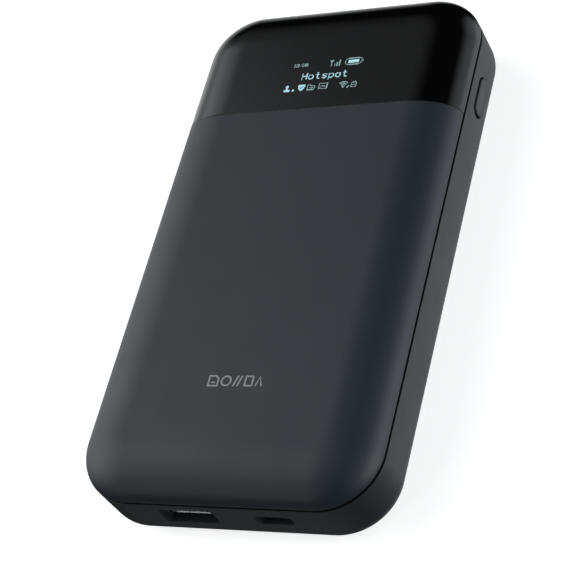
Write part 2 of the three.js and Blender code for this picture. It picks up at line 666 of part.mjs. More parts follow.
const cells = roundedBar(CELL.x, CELL.low, CELL.high, CELL.floor, CELL.top, 1);
add(battery, "battery_cells", cells, WRAP);
const cap = roundedBar(CELL.x, CAP_FACE, CELL.low - 0.1, CELL.floor, CELL.top, 0.4);
add(battery, "battery_cap", cap, BLACK_PLASTIC);
const contactZ = (CONTACT.low + CONTACT.high) / 2;
const padPlate = new THREE.BoxGeometry(2.2, 0.2, 3.4);
CONTACT_X.forEach((x, i) =>
  add(battery, `battery_pad_${i + 1}`, padPlate, GOLD, [x, CAP_FACE - 0.1, contactZ]),
);

// The block stands in the bay's end wall, with a pocket behind each spring's free end.
function contactBlock() {
  const { half, low, high, back, front } = CONTACT;
  const pocket = { half: 0.8, deep: 1.2, rise: 1.7 };
  const pockets = CONTACT_X.map((x) =>
    block(x - pocket.half, x + pocket.half, front - pocket.deep, front + 1,
      contactZ - pocket.rise, contactZ + pocket.rise),
  );
  return cut(block(-half, half, back, front, low, high), ...pockets);
}

add(electronics, "contact_block", contactBlock(), BLACK_PLASTIC);
const springPath = [
  [-50.05, contactZ - 1.4], [-49.1, contactZ - 1.1], [-48.35, contactZ], [-49.1, contactZ + 1.1],
  [-49.95, contactZ + 1.3],
];
CONTACT_X.forEach((x, i) =>
  add(electronics, `contact_spring_${i + 1}`, ribbon(springPath, 0.2, x - 0.5, x + 0.5), GOLD),
);

export default group;
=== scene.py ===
"""Looks of the pocket hotspot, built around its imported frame. Metres, +Z is the way the display faces."""

import json
import math

import bmesh
import bpy
import numpy as np
from mathutils import Matrix, Vector

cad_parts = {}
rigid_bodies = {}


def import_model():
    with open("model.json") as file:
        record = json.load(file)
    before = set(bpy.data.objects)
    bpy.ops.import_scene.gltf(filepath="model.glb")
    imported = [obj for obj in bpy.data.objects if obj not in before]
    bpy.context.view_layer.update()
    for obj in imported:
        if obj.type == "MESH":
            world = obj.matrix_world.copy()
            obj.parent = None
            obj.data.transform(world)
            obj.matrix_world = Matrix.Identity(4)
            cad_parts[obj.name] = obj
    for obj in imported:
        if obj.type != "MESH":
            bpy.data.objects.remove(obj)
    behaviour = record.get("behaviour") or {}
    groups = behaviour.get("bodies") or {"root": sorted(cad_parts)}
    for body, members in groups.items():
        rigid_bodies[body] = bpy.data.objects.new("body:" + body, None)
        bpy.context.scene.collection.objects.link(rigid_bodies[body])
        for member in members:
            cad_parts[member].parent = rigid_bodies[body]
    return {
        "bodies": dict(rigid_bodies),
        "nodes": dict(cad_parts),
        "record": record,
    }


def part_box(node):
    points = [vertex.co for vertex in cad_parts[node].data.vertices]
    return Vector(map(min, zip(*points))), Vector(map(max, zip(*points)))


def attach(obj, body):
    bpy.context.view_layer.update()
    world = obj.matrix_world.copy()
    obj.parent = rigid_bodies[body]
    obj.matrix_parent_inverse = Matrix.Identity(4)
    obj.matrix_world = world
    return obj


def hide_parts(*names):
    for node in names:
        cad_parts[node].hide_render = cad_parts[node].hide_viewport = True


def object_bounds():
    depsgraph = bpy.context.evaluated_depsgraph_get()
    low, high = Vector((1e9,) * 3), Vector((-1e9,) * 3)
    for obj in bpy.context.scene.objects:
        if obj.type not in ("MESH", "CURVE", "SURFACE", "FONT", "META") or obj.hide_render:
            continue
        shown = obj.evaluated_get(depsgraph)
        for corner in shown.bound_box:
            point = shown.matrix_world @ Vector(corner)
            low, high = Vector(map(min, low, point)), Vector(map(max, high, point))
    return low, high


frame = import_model()
cad_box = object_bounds()
scene = bpy.context.scene
MM = 0.001

# ---- camera ---------------------------------------------------------------------------------
AZIMUTH, ELEVATION, ROLL = 43.63, 48.10, 15.42  # degrees; the display end leans to the right
DISTANCE = 0.4291
LENS, SENSOR = 108.45, 36.0
AIM = (0.00262, -0.00897)  # how far the aim is from the body's middle, along the view's right and down


def place_camera():
    """Looks at the body's middle from AZIMUTH and ELEVATION, with +Y as up before it is rolled."""
    a, e, r = (math.radians(d) for d in (AZIMUTH, ELEVATION, ROLL))
    forward = -Vector((math.sin(a) * math.cos(e), -math.cos(a) * math.cos(e), math.sin(e)))
    across = forward.cross(Vector((0, 1, 0))).normalized()
    below = forward.cross(across)
    right = across * math.cos(r) - below * math.sin(r)
    down = across * math.sin(r) + below * math.cos(r)
    data = bpy.data.cameras.new("camera")
    data.lens, data.sensor_width = LENS, SENSOR
    data.clip_start, data.clip_end = 0.01, 50
    camera = bpy.data.objects.new("camera", data)
    scene.collection.objects.link(camera)
    middle = (cad_box[0] + cad_box[1]) / 2
    middle.x = 0
    camera.matrix_world = Matrix.Translation(
        middle - right * AIM[0] - down * AIM[1] - forward * DISTANCE
    ) @ Matrix((right, -down, -forward)).transposed().to_4x4()
    scene.camera = camera


place_camera()

# ---- sizes, from the frame ------------------------------------------------------------------
frame_low, frame_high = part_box("mid_frame")
shell_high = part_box("front_shell")[1]
window_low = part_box("display_window")[0]
cover_low, cover_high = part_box("back_cover")
WIDTH = frame_high.x - frame_low.x
LENGTH = frame_high.y - frame_low.y
HEIGHT = shell_high.z
CORNER = 14.5 * MM  # plan radius of the body's corners
CROWN = 13.0 * MM  # how far in the front's curve reaches
PARTING = 16.45 * MM
GROOVE = 0.95 * MM
BACK_R = 6.0 * MM
SKIN = 1.8 * MM
CAD_SEAM = 0.1 * MM
SEAM = window_low.y - CAD_SEAM / 2
SEAM_GAP = 0.03 * MM
FRONT_Z = PARTING + GROOVE / 2
BAND_TOP = PARTING - GROOVE / 2

# ---- meshes ---------------------------------------------------------------------------------
CORNER_STEPS = 28
SIDE_STEPS = 24


def make(name, points, faces, body, material, replaces=(), smooth_deg=35):
    """A piece from an array of points and lists of corners. Edges sharper than smooth_deg stay sharp."""
    mesh = bpy.data.meshes.new(name)
    mesh.from_pydata(np.asarray(points, float).reshape(-1, 3).tolist(), [], faces)
    mesh.validate()
    return finish_piece(name, mesh, body, material, replaces, smooth_deg)


def finish_piece(name, mesh, body, material, replaces=(), smooth_deg=35):
    """Gives a mesh its material and shading, and places it on its body."""
    mesh.materials.clear()
    mesh.materials.append(material)
    mesh.polygons.foreach_set("material_index", np.zeros(len(mesh.polygons), np.int32))
    mesh.polygons.foreach_set("use_smooth", np.ones(len(mesh.polygons), bool))
    mesh.set_sharp_from_angle(angle=math.radians(smooth_deg))
    piece = bpy.data.objects.new(name, mesh)
    scene.collection.objects.link(piece)
    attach(piece, body)
    if replaces:
        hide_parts(*replaces)
    return piece


def joined(*parts):
    """Several (points, faces) as one."""
    points, faces, start = [], [], 0
    for p, f in parts:
        p = np.asarray(p, float).reshape(-1, 3)
        points.append(p)
        faces += [tuple(int(i) + start for i in face) for face in f]
        start += len(p)
    return np.concatenate(points), faces


def outline_arcs(width=WIDTH, length=LENGTH, radius=CORNER, steps=CORNER_STEPS):
    """The four corner arcs of a rounded rectangle, anticlockwise from the +X +Y corner: for each, an
    array of points and one of inward normals. A point is centre + radius * (cos a, sin a)."""
    arcs = []
    for k, (sx, sy) in enumerate(((1, 1), (-1, 1), (-1, -1), (1, -1))):
        a = np.linspace(0, math.pi / 2, steps + 1) + k * math.pi / 2
        outward = np.stack([np.cos(a), np.sin(a)], 1)
        centre = np.array([sx * (width / 2 - radius), sy * (length / 2 - radius)])
        arcs.append((centre + radius * outward, -outward))
    return arcs


def route(stops, steps=SIDE_STEPS):
    """Stops joined by evenly divided straight lines: points and inward normals, as one path."""
    points, normals = [stops[0][0]], [stops[0][1]]
    for (p, n), (q, m) in zip(stops, stops[1:]):
        t = np.linspace(0, 1, steps + 1)[1:-1, None]
        points += [p[-1] * (1 - t) + q[0] * t, q]
        normals += [np.repeat(n[-1:], steps - 1, 0), m]
    return np.concatenate(points), np.concatenate(normals)


def closed_route(arcs, steps=SIDE_STEPS):
    """The arcs joined all the way round. The last point isn't the first one again."""
    points, normals = route([*arcs, (arcs[0][0][:1], arcs[0][1][:1])], steps)
    return points[:-1], normals[:-1]


def end_of(side, y):
    """One point of the body's straight side at that y, as a stop."""
    return np.array([[side * WIDTH / 2, y]]), np.array([[-side, 0.0]])


def swept(path, profile, loop=True, ring=False):
    """A profile of (inset, height) rows carried along a plan path. The point for path row i and
    profile row j is path_i + inset_j * inward_i, at height_j. With ring, the profile closes on itself;
    otherwise flat caps close its two ends. An open path's ends are closed by one flat face."""
    base, inward = path
    inset, height = np.asarray(profile, float).T
    k, m = len(base), len(inset)
    plan = base[:, None, :] + inset[None, :, None] * inward[:, None, :]
    points = np.concatenate([plan, np.broadcast_to(height[None, :, None], (k, m, 1))], 2)
    i = np.arange(k if loop else k - 1)[:, None]
    j = np.arange(m if ring else m - 1)[None, :]
    i2, j2 = (i + 1) % k, (j + 1) % m
    quads = np.stack([i * m + j, i2 * m + j, i2 * m + j2, i * m + j2], -1).reshape(-1, 4)
    faces = [tuple(q) for q in quads.tolist()]
    rows = np.arange(k) * m
    if not ring:
        faces.append(tuple((rows + m - 1).tolist()))
        faces.append(tuple(rows[::-1].tolist()))
    if not loop:
        faces.append((*range(m), *((k - 1) * m + np.arange(m)[::-1]).tolist()))
    return points.reshape(-1, 3), faces


def arc_rows(centre, radii, start, stop, steps):
    """Rows on an ellipse arc: centre + (radius_x cos a, radius_y sin a), angles in degrees."""
    a = np.radians(np.linspace(start, stop, steps + 1))
    return np.stack([centre[0] + radii[0] * np.cos(a), centre[1] + radii[1] * np.sin(a)], 1)


def crown_rows(inset, low, steps=26):
    """The crown from its lower edge to the flat top: a quarter ellipse, drawn in by inset."""
    rise = HEIGHT - PARTING - inset
    rows = arc_rows((CROWN, PARTING), (-(CROWN - inset), rise), 0, 90, steps)
    clear = 0.02 * MM
    return rows[rows[:, 1] > low + clear]


def shell_profile(skin):
    """From the inner flat, down the inner wall, round the lower lip and up the crown."""
    lip, lip_top, edge = 0.9 * MM, 17.2 * MM, 0.12 * MM
    eased = 0.3 * edge
    support = 0.5 * MM
    inner = crown_rows(skin, lip_top)[::-1]
    outer = crown_rows(0, FRONT_Z + edge)
    up = (FRONT_Z + edge - PARTING) / (HEIGHT - PARTING)
    first_inset = CROWN - math.sqrt(1 - up ** 2) * CROWN
    return np.concatenate([
        [[CROWN + support, HEIGHT - skin]],
        inner,
        [[skin, lip_top], [lip, lip_top], [lip, FRONT_Z]],
        [[edge + first_inset, FRONT_Z], [first_inset + eased, FRONT_Z + eased]],
        [[first_inset, FRONT_Z + edge]],
        outer,
        [[CROWN + support, HEIGHT]],
    ])


def bevel(piece, width, segments=2, angle=40):
    """Rounds the edges that are sharper than angle, in degrees."""
    modifier = piece.modifiers.new("edge", "BEVEL")
    modifier.width = width
    modifier.segments = segments
    modifier.limit_method = "ANGLE"
    modifier.angle_limit = math.radians(angle)
    return piece


def cut_out(mesh, cutters, operation="DIFFERENCE"):
    """The mesh with each cutter, a (points, faces) pair, taken out of it or met with it."""
    work = bpy.data.objects.new("work", mesh)
    scene.collection.objects.link(work)
    made = []
    for k, (points, faces) in enumerate(cutters):
        data = bpy.data.meshes.new(f"cutter_{k}")
        data.from_pydata(np.asarray(points, float).tolist(), [], faces)
        tool = bpy.data.objects.new(f"cutter_{k}", data)
        scene.collection.objects.link(tool)
        made.append(tool)
        modifier = work.modifiers.new("cut", "BOOLEAN")
        modifier.operation = operation
        modifier.solver = "EXACT"
        modifier.object = tool
    bpy.context.view_layer.update()
    evaluated = work.evaluated_get(bpy.context.evaluated_depsgraph_get())
    result = bpy.data.meshes.new_from_object(evaluated)
    for o in [work, *made]:
        bpy.data.objects.remove(o)
    return result


def raw_mesh(name, points, faces):
    """A bare mesh, not yet a piece."""
    mesh = bpy.data.meshes.new(name)
    mesh.from_pydata(np.asarray(points, float).reshape(-1, 3).tolist(), [], faces)
    return mesh


# ---- materials ------------------------------------------------------------------------------
def new_material(name, color, roughness, metallic=0.0):
    """A plain principled material, with the parts that the finishes below build on."""
    material = bpy.data.materials.new(name)
    material.use_nodes = True
    nodes, links = material.node_tree.nodes, material.node_tree.links
    shader = nodes["Principled BSDF"]
    shader.inputs["Base Color"].default_value = (*color, 1)
    shader.inputs["Roughness"].default_value = roughness
    shader.inputs["Metallic"].default_value = metallic
    place = nodes.new("ShaderNodeTexCoord").outputs["Object"]
    return material, nodes, links, shader, place


def noise(nodes, links, place, scale, detail=3.0, stretch=None):
    """A noise in the piece's own space. scale is in waves per metre; stretch draws it out."""
    if stretch:
        mapping = nodes.new("ShaderNodeMapping")
        mapping.inputs["Scale"].default_value = stretch
        links.new(place, mapping.inputs["Vector"])
        place = mapping.outputs["Vector"]
    texture = nodes.new("ShaderNodeTexNoise")
    texture.inputs["Scale"].default_value = scale
    texture.inputs["Detail"].default_value = detail
    links.new(place, texture.inputs["Vector"])
    return texture.outputs["Fac"]


def spread(nodes, links, value, low, high, start=0.3, stop=0.7):
    """The value's range from start to stop, brought to low and high."""
    ranged = nodes.new("ShaderNodeMapRange")
    for socket, number in (("From Min", start), ("From Max", stop), ("To Min", low), ("To Max", high)):
        ranged.inputs[socket].default_value = number
    links.new(value, ranged.inputs["Value"])
    return ranged.outputs["Result"]


def tint(nodes, links, value, first, second):
    """A mix of two colours by value."""
    mix = nodes.new("ShaderNodeMix")
    mix.data_type = "RGBA"
    links.new(value, mix.inputs["Factor"])
    mix.inputs["A"].default_value = (*first, 1)
    mix.inputs["B"].default_value = (*second, 1)
    return mix.outputs["Result"]


def bump(nodes, links, shader, value, distance, strength):
    """Raises the surface by distance where value is 1."""
    node = nodes.new("ShaderNodeBump")
    node.inputs["Strength"].default_value = strength
    node.inputs["Distance"].default_value = distance
    links.new(value, node.inputs["Height"])
    links.new(node.outputs["Normal"], shader.inputs["Normal"])


def soft_touch(name, color, roughness=0.5):
    """Rubbery paint over moulded plastic: a fine orange-peel grain, with faint cloudy handling marks."""
    material, nodes, links, shader, place = new_material(name, color, roughness)
    cloud = noise(nodes, links, place, scale=34, detail=4)
    darker = tuple(c * 0.93 for c in color)
    lighter = tuple(c * 1.07 for c in color)
    shade = tint(nodes, links, spread(nodes, links, cloud, 0, 1), darker, lighter)
    links.new(shade, shader.inputs["Base Color"])
    marks = noise(nodes, links, place, scale=95, detail=5)
    links.new(spread(nodes, links, marks, roughness - 0.03, roughness + 0.03), shader.inputs["Roughness"])
    peel = noise(nodes, links, place, scale=5200, detail=2)
    bump(nodes, links, shader, peel, distance=0.004 * MM, strength=0.6)
    shader.inputs["Specular IOR Level"].default_value = 0.5
    return material


def gloss(name, color, roughness=0.035):
    """Polished moulded cap: nearly a mirror, with the faintest smudges."""
    material, nodes, links, shader, place = new_material(name, color, roughness)
    smudge = noise(nodes, links, place, scale=55, detail=5)
    duller = spread(nodes, links, smudge, roughness, roughness * 2.2, start=0.45, stop=0.75)
    links.new(duller, shader.inputs["Roughness"])
    flow = noise(nodes, links, place, scale=16, detail=1)
    bump(nodes, links, shader, flow, distance=0.02 * MM, strength=0.25)
    return material


def moulded(name, color, roughness=0.45):
    """Spark-eroded moulded plastic."""
    material, nodes, links, shader, place = new_material(name, color, roughness)
    grain = noise(nodes, links, place, scale=3000)
    lighter = tuple(c * 1.25 for c in color)
    shade = tint(nodes, links, spread(nodes, links, grain, 0, 1), color, lighter)
    links.new(shade, shader.inputs["Base Color"])
    bump(nodes, links, shader, grain, distance=0.01 * MM, strength=0.5)
    return material


def sheet_metal(name, color, roughness, stretch=(1, 0.05, 1)):
    """Rolled and stamped sheet: grain drawn out along the strip."""
    material, nodes, links, shader, place = new_material(name, color, roughness, 1.0)
    grain = noise(nodes, links, place, scale=2600, stretch=stretch)
    links.new(spread(nodes, links, grain, roughness - 0.05, roughness + 0.06), shader.inputs["Roughness"])
    stain = noise(nodes, links, place, scale=140)
    duller = tuple(c * 0.82 for c in color)
    shade = tint(nodes, links, spread(nodes, links, stain, 0, 1), duller, color)
    links.new(shade, shader.inputs["Base Color"])
    bump(nodes, links, shader, grain, distance=0.0007 * MM, strength=0.4)
    return material


def solder_mask(name, color):
    """Green board lacquer over copper tracks, which show as slightly raised lighter lines."""
    material, nodes, links, shader, place = new_material(name, color, 0.35)
    brick = nodes.new("ShaderNodeTexBrick")
    brick.inputs["Scale"].default_value = 420
    brick.inputs["Mortar Size"].default_value = 0.03
    brick.inputs["Color1"].default_value = (*color, 1)
    brick.inputs["Color2"].default_value = (*(c * 0.85 for c in color), 1)
    brick.inputs["Mortar"].default_value = (*(c * 1.9 for c in color), 1)
    links.new(place, brick.inputs["Vector"])
    links.new(brick.outputs["Color"], shader.inputs["Base Color"])
    bump(nodes, links, shader, brick.outputs["Fac"], distance=0.03 * MM, strength=0.6)
    return material


def lit(name, color, strength):
    """A lit display element, slightly uneven from dot to dot."""
    unlit = (0.02, 0.03, 0.03)
    material, nodes, links, shader, place = new_material(name, unlit, 0.3)
    uneven = noise(nodes, links, place, scale=900, detail=2)
    weaker = tuple(c * 0.8 for c in color)
    shade = tint(nodes, links, spread(nodes, links, uneven, 0, 1), weaker, color)
    links.new(shade, shader.inputs["Emission Color"])
    shader.inputs["Emission Strength"].default_value = strength
    return material


FINISHES = {
    "soft_touch": soft_touch("soft_touch", (0.016, 0.024, 0.032)),
    "soft_touch_frame": soft_touch("soft_touch_frame", (0.018, 0.022, 0.027)),
    "gloss_black": gloss("gloss_black", (0.003, 0.003, 0.0033)),
    "black_plastic": moulded("black_plastic", (0.009, 0.0095, 0.01)),
    "circuit_board": solder_mask("circuit_board", (0.008, 0.05, 0.024)),
    "steel": sheet_metal("steel", (0.62, 0.63, 0.64), 0.26),
    "tin": sheet_metal("tin", (0.5, 0.51, 0.52), 0.38),
    "gold": sheet_metal("gold", (0.9, 0.63, 0.24), 0.25),
    "oled_glass": gloss("oled_glass", (0.006, 0.008, 0.01)),
    "flex": moulded("flex", (0.26, 0.07, 0.012), 0.3),
    "battery_wrap": moulded("battery_wrap", (0.02, 0.024, 0.03), 0.4),
    "thermal_pad": moulded("thermal_pad", (0.3, 0.32, 0.36), 0.8),
    "cable": moulded("cable", (0.008, 0.008, 0.008), 0.35),
    "screw_black": sheet_metal("screw_black", (0.07, 0.07, 0.075), 0.35, (1, 1, 1)),
}
PRINT = moulded("print_grey", (0.32, 0.33, 0.335), 0.5)
BRIGHT_DOT = lit("bright_dot", (0.5, 0.88, 0.95), 1.0)
WEAK_DOT = lit("weak_dot", (0.42, 0.66, 0.68), 0.75)


def finish_cad_nodes():
    """Gives each of the frame's nodes the finish of its slot."""
    for row in frame["record"]["subparts"]:
        node = frame["nodes"][row["node"]]
        node.data.materials.clear()
        node.data.materials.append(FINISHES[row["material_slot"]])


finish_cad_nodes()

# ---- shells ---------------------------------------------------------------------------------
WHOLE = closed_route(outline_arcs())  # the path all round the body


def make_front():
    """The shell runs round the port end and the window round the display end, from seam to seam."""
    arcs = outline_arcs()
    shell_edge, window_edge = SEAM - SEAM_GAP / 2, SEAM + SEAM_GAP / 2
    lower_path = route([end_of(-1, shell_edge), arcs[2], arcs[3], end_of(1, shell_edge)])
    upper_path = route([end_of(1, window_edge), arcs[0], arcs[1], end_of(-1, window_edge)])
    points, faces = swept(lower_path, shell_profile(SKIN), loop=False)
    shell = make(
        "front_shell_skin", points, faces, "housing", FINISHES["soft_touch"],
        ["front_shell"],
    )
    points, faces = swept(upper_path, shell_profile(SKIN), loop=False)
    window = make(
        "display_window_cap", points, faces, "housing", FINISHES["gloss_black"],
        ["display_window"],
    )
    for piece in (shell, window):
        bevel(piece, 0.1 * MM, angle=60)


make_front()

# ---- side band and the frame's core ---------------------------------------------------------
BAND_SKIN = 1.1 * MM
BAND_EDGE = 0.15 * MM  # rounding of its top edge
BAND_UNDERCUT = 0.5 * MM  # its top slopes down inwards by this much


def band_profile():
    """The side band's section: up the outer wall, over the rounded top edge and down the inner wall.
    Its lower end follows the underside's rounding."""
    low = frame_low.z
    start = math.degrees(math.asin((BACK_R - low) / BACK_R))
    lower = arc_rows((BACK_R, BACK_R), (-BACK_R, -BACK_R), start, 0, 10)
    top = arc_rows((BAND_EDGE, BAND_TOP - BAND_EDGE), (-BAND_EDGE, BAND_EDGE), 0, 90, 4)
    inner = [[BAND_SKIN, BAND_TOP - BAND_UNDERCUT], [BAND_SKIN, low]]
    return np.concatenate([lower, top, inner])


def pill_path(length, height, steps=12):
    """A bar's outline with round ends."""
    short_of_half = 0.01 * MM
    radius = min(length, height) / 2 - short_of_half
    return closed_route(outline_arcs(length, height, radius, steps), 6)


def along_x(points, x, y, z):
    """Plan (u, v) and height h of a swept shape laid so that u runs along Y, v along Z and h along X."""
    p = np.asarray(points)
    return np.stack([x + p[:, 2], y + p[:, 0], z + p[:, 1]], 1)


def along_y(points, x, y, z):
    """The same with u along X, v along Z and h along -Y."""
    p = np.asarray(points)
    return np.stack([x + p[:, 0], y - p[:, 2], z + p[:, 1]], 1)


button_low, button_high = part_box("power_button_cap")
BUTTON_GAP = 0.5 * MM
BUTTON_LENGTH, BUTTON_HEIGHT = 10.6 * MM, 4.1 * MM
BUTTON_Y = (button_low.y + button_high.y) / 2
BUTTON_Z = (button_low.z + button_high.z) / 2
usb_a_low, usb_a_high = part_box("usb_a_shell")
usb_c_low, usb_c_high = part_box("usb_c_shell")
USB_A_MOUTH = {"width": 14.2 * MM, "length": 6.3 * MM, "radius": 1.2 * MM}
USB_C_MOUTH = {"length": 9.54 * MM, "height": 3.76 * MM}
USB_A_X = (usb_a_low.x + usb_a_high.x) / 2
USB_C_X = (usb_c_low.x + usb_c_high.x) / 2
PORT_Z = (usb_a_low.z + usb_a_high.z) / 2


def mouth(path, depth, flare):
    """A cutter whose outer end is flared, so that the edge it leaves is chamfered."""
    return swept(path, [[0, -depth], [0, -flare], [-flare, 0], [-flare, depth]])


def cutters():
    """The two sockets' mouths in the port end, and the button's opening in the side."""
    reach = 4 * MM
    usb_a = closed_route(outline_arcs(**USB_A_MOUTH, steps=8), 4)
    usb_c = pill_path(**USB_C_MOUTH)
    hole = pill_path(BUTTON_LENGTH + 2 * BUTTON_GAP, BUTTON_HEIGHT + 2 * BUTTON_GAP)
    made = []
    for path, x in ((usb_a, USB_A_X), (usb_c, USB_C_X)):
        points, faces = mouth(path, reach, flare=0.15 * MM)
        made.append((along_y(points, x, frame_low.y, PORT_Z), faces))
    points, faces = mouth(hole, reach, flare=0.25 * MM)
    made.append((along_x(points, frame_high.x, BUTTON_Y, BUTTON_Z), faces))
    return made


def make_band():
    """The side wall, with the sockets' mouths and the button's opening cut out of it."""
    points, faces = swept(WHOLE, band_profile(), ring=True)
    band = cut_out(raw_mesh("band", points, faces), cutters())
    finish_piece(
        "mid_frame_band", band, "housing", FINISHES["soft_touch_frame"],
        ["mid_frame"], 30,
    )


make_band()


def merged_copy(node):
    """A node's mesh with its loose triangles joined at their corners."""
    mesh = frame["nodes"][node].data.copy()
    work = bmesh.new()
    work.from_mesh(mesh)
    bmesh.ops.remove_doubles(work, verts=work.verts, dist=0.0001 * MM)
    work.to_mesh(mesh)
    work.free()
    return mesh


def make_core():
    """What the frame carries inside its band: bay, walls, posts and tongue. It is the frame's own solid,
    kept where it lies further in than the band's skin."""
    inside = swept(closed_route(outline_arcs(
        WIDTH - 2 * BAND_SKIN, LENGTH - 2 * BAND_SKIN, CORNER - BAND_SKIN
    )), [[0, -MM], [0, HEIGHT]])
    mesh = cut_out(merged_copy("mid_frame"), [inside], "INTERSECT")
    core = finish_piece(
        "mid_frame_core", mesh, "housing", FINISHES["soft_touch_frame"],
        ["mid_frame"], 30,
    )
    core.modifiers.new("flat_faces", "WEIGHTED_NORMAL").keep_sharp = True


make_core()

# ---- back cover -----------------------------------------------------------------------------
def cover_profile():
    """From the inner floor, up the inner wall, over the rim and round the outer edge to the underside."""
    skin, support = 1.5 * MM, 0.5 * MM
    rim = cover_low.z + 2.9 * MM
    inner_end = math.degrees(math.asin((BACK_R - rim) / (BACK_R - skin)))
    inner = arc_rows((BACK_R, BACK_R), (skin - BACK_R, skin - BACK_R), 90, inner_end, 10)
    outer_start = math.degrees(math.asin((BACK_R - rim) / BACK_R))
    outer = arc_rows((BACK_R, BACK_R), (-BACK_R, -BACK_R), outer_start, 90, 14)
    return np.concatenate([
        [[BACK_R + support, skin]],
        inner,
        outer,
        [[BACK_R + support, 0]],
    ])


# A block's sides, its corners counted round the bottom and then round the top.
BLOCK_SIDES = [(3, 2, 1, 0), (4, 5, 6, 7), (0, 1, 5, 4), (1, 2, 6, 5), (2, 3, 7, 6), (3, 0, 4, 7)]


def brick(x0, x1, y0, y1, z0, z1):
    """A closed block between two corners."""
    x, y, z = (x0, x1), (y0, y1), (z0, z1)
    points = [(x[i], y[j], z[k]) for k in (0, 1) for i, j in ((0, 0), (1, 0), (1, 1), (0, 1))]
    return points, BLOCK_SIDES


def cover_tabs():
    """The snap tabs that stand up inside the rim: three a side and two an end."""
    outer, thick, half, low, top = 2.3 * MM, 1.0 * MM, 4.0 * MM, 1.2 * MM, cover_high.z
    side_pitch, end_half_pitch = 40 * MM, 14 * MM
    tabs = []
    for side in (-1, 1):
        x0, x1 = sorted((side * (WIDTH / 2 - outer), side * (WIDTH / 2 - outer - thick)))
        along = (-side_pitch, 0, side_pitch)
        tabs += [brick(x0, x1, y - half, y + half, low, top) for y in along]
        y0, y1 = sorted((side * (LENGTH / 2 - outer), side * (LENGTH / 2 - outer - thick)))
        across = (-end_half_pitch, end_half_pitch)
        tabs += [brick(x - half, x + half, y0, y1, low, top) for x in across]
    return tabs


def cover_ribs():
    """Low stiffening ribs on the inner floor, clear of the battery."""
    low, top, half = 1.2 * MM, 1.75 * MM, 0.4 * MM
    end_y, end_x = 60 * MM, 30 * MM
    long_x, cross_y = 22 * MM, 56 * MM
    long_ribs = [
        brick(x - half, x + half, -end_y, end_y, low, top) for x in (-long_x, 0, long_x)
    ]
    cross_ribs = [
        brick(-end_x, end_x, y - half, y + half, low, top) for y in (-cross_y, cross_y)
    ]
    return long_ribs + cross_ribs


def make_cover():
    """The smooth pan, with the pry notch's round scoop cut out of its display end, and its tabs and ribs."""
    across, radius, beyond = 13 * MM, 6.49 * MM, 4 * MM
    circle = closed_route(outline_arcs(across, across, radius, 14), 2)
    scoop_points, scoop_faces = swept(circle, [[0, -MM], [0, 6 * MM]])
    scoop_points = scoop_points + np.array([0, LENGTH / 2 + beyond, 0])
    points, faces = swept(WHOLE, cover_profile())
    pan = cut_out(raw_mesh("pan", points, faces), [(scoop_points, scoop_faces)])
    finish_piece(
        "back_cover_skin", pan, "back_cover", FINISHES["soft_touch"], ["back_cover"]
    )
    points, faces = joined(*cover_tabs(), *cover_ribs())
    inner = make(
        "back_cover_tabs", points, faces, "back_cover", FINISHES["soft_touch"],
        ["back_cover"],
    )
    bevel(inner, 0.15 * MM)


make_cover()

# ---- sockets --------------------------------------------------------------------------------
USB_SHEET = 0.3 * MM
SHORT = 0.05 * MM  # a tube ends this far before its socket's back
BLACK = FINISHES["black_plastic"]


def socket_tube(path, depth, flare=0.0):
    """A drawn steel tube along the path: outer wall, rolled lip, inner wall. Its mouth opens outwards
    by flare, at about 45 degrees."""
    half = USB_SHEET / 2
    roll = arc_rows((half - flare, half), (-half, -half), 0, 180, 6)
    outer = [[0, depth], [0, half + 1.6 * flare]]
    inner = [[USB_SHEET, half + flare], [USB_SHEET, depth]]
    return swept(path, np.concatenate([outer, roll, inner]), ring=True)


def laid_in(part, x, y):
    """A tube or plate made in plan, turned so that it runs into the socket from its mouth at y."""
    points, faces = np.asarray(part[0]), part[1]
    turned = np.stack([x + points[:, 0], y + points[:, 2], PORT_Z + points[:, 1]], 1)
    return turned, [tuple(f)[::-1] for f in faces]


def spring_leaf(x, side, y0):
    """A leaf pressed inwards from the tube's wall: rise times the sine of half a turn along it."""
    length, half, rise, thick, steps = 5.5 * MM, 0.85 * MM, 0.42 * MM, 0.1 * MM, 12
    t = np.linspace(0, 1, steps + 1)
    wall = (usb_a_high.z - usb_a_low.z) / 2 - USB_SHEET
    z = PORT_Z + side * (wall - rise * np.sin(math.pi * t))
    y = y0 + length * t
    rows = [
        np.stack([np.full(steps + 1, x + dx), y, z + side * dz], 1)
        for dx, dz in ((-half, 0), (half, 0), (half, thick), (-half, thick))
    ]
    points = np.stack(rows, 1).reshape(-1, 3)
    i = np.arange(steps)[:, None] * 4
    j = np.arange(4)[None, :]
    j2 = (j + 1) % 4
    quads = np.stack([i + j, i + j2, i + 4 + j2, i + 4 + j], -1).reshape(-1, 4)
    if side > 0:
        quads = quads[:, ::-1]
    faces = [tuple(q) for q in quads.tolist()]
    ends = [(3, 2, 1, 0), tuple(4 * steps + np.arange(4))]
    faces += ends if side < 0 else [e[::-1] for e in ends]
    return points, faces


